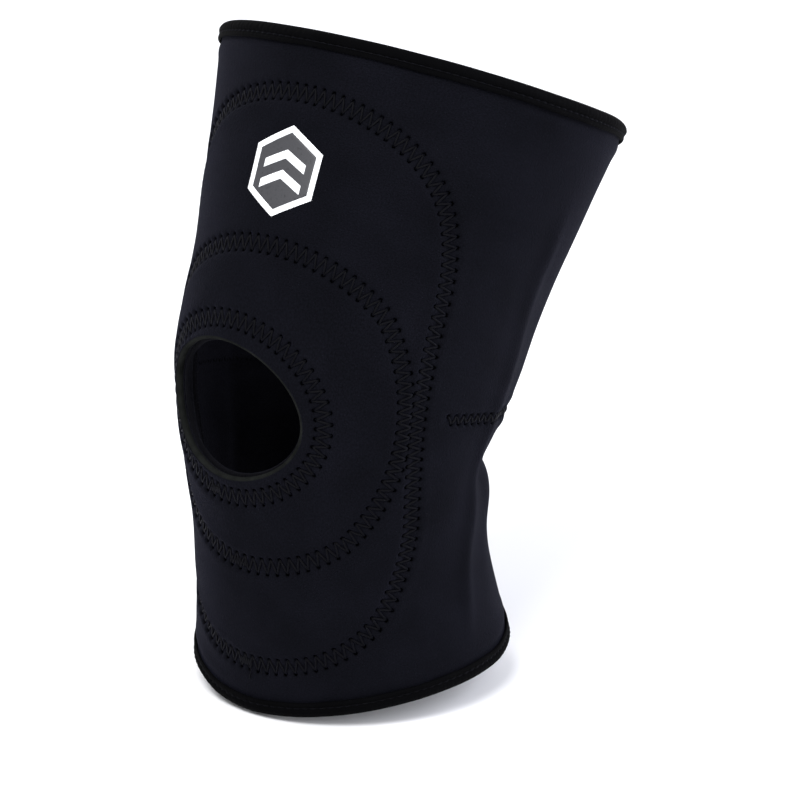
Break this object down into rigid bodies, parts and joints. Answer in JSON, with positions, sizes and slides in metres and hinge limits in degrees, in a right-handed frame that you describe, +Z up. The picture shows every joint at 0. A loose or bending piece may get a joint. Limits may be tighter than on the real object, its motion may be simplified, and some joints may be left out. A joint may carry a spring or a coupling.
{
  "type": "knee brace",
  "caption": "Pull-on neoprene knee sleeve with a oval kneecap window, an inner reinforcement panel and bound rims, shaped as worn on a slightly bent leg.",
  "frame": {"origin": "where the knee bends: on the leg's centre line, at the height of the sleeve's knee axis", "axes": "+Z up, the front of the knee faces -Y, and +X is across the leg"},
  "size_m": [0.1574, 0.1849, 0.2583],
  "materials": {
    "face_fabric": "matte navy-black nylon jersey",
    "foam": "closed-cell foam, cut edge",
    "lining": "matte black nylon jersey lining",
    "panel": "black fabric-faced foam panel",
    "pad": "soft foam pad",
    "binding": "folded black stretch tape",
    "thread": "black textured nylon thread",
    "print": "white and grey heat transfer"
  },
  "bodies": {
    "thigh_part": {"face_fabric_upper": "face_fabric", "foam_core_upper": "foam", "lining_upper": "lining", "reinforcement_upper": "panel", "kneecap_pad": "pad", "thigh_binding": "binding", "thigh_binding_stitching": "thread", "outer_loop_stitching_upper": "thread", "middle_loop_stitching": "thread", "inner_loop_stitching": "thread", "back_seam_stitching_upper": "thread", "dart_stitching_left": "thread", "dart_stitching_right": "thread", "emblem": "print"},
    "calf_part": {"face_fabric_lower": "face_fabric", "foam_core_lower": "foam", "lining_lower": "lining", "reinforcement_lower": "panel", "calf_binding": "binding", "calf_binding_stitching": "thread", "outer_loop_stitching_lower": "thread", "back_seam_stitching_lower": "thread"}
  },
  "joints": [
    {"name": "knee_flexion", "type": "hinge", "parent": "thigh_part", "child": "calf_part", "pos_m": [0, 0, 0], "axis": [1, 0, 0], "range_deg": [-35, 60], "stiffness_Nm_per_rad": 0.5}
  ]
}
